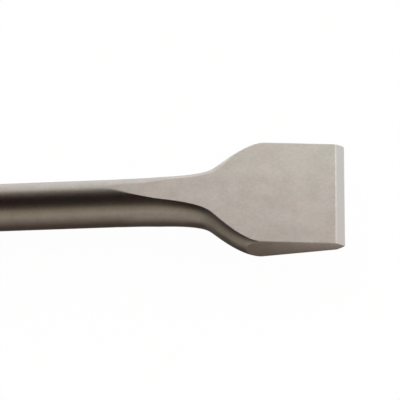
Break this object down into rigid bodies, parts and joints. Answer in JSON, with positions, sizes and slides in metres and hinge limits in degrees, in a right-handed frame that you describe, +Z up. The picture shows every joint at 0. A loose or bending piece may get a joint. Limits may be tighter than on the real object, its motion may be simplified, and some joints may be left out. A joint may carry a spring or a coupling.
{
  "type": "flat chisel for a rotary hammer",
  "caption": "Wide flat chisel forged from round bar: slotted round shank, plain round shaft, and a tapered blade that flares to a straight double-bevelled cutting edge.",
  "frame": {"origin": "centre of the shank's rear end, on the tool's axis", "axes": "+X along the tool's axis to the cutting edge, +Y along the cutting edge, +Z up, square to the blade's flats"},
  "size_m": [0.25, 0.04, 0.014],
  "materials": {
    "forged_steel": "satin, shot-blasted warm grey steel with a brighter ground bevel"
  },
  "bodies": {
    "root": {"chisel": "forged_steel"}
  },
  "joints": []
}
